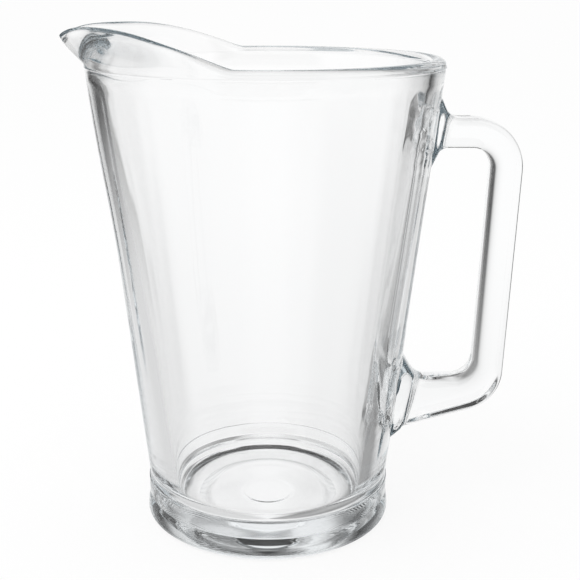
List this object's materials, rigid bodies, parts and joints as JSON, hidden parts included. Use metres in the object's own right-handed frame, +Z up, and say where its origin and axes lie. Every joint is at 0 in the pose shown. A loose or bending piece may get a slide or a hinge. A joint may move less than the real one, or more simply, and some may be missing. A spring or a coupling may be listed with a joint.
{
  "type": "beer pitcher",
  "caption": "Clear pressed-glass beer pitcher: tapered body on a rounded heavy foot, wide drawn spout and an upright D-shaped side handle, for carrying and pouring drinks.",
  "frame": {"origin": "on the vessel's axis, in the plane of the ring that stands on the table", "axes": "+Z up along the vessel's axis, +X towards the handle, -X towards the spout, +Y across the handle"},
  "size_m": [0.1974, 0.15, 0.2206],
  "materials": {
    "clear_glass": "polished clear soda-lime glass",
    "handle_glass": "polished clear soda-lime glass, a little greener where it is thick"
  },
  "bodies": {
    "root": {"vessel": "clear_glass", "handle": "handle_glass"}
  },
  "joints": []
}
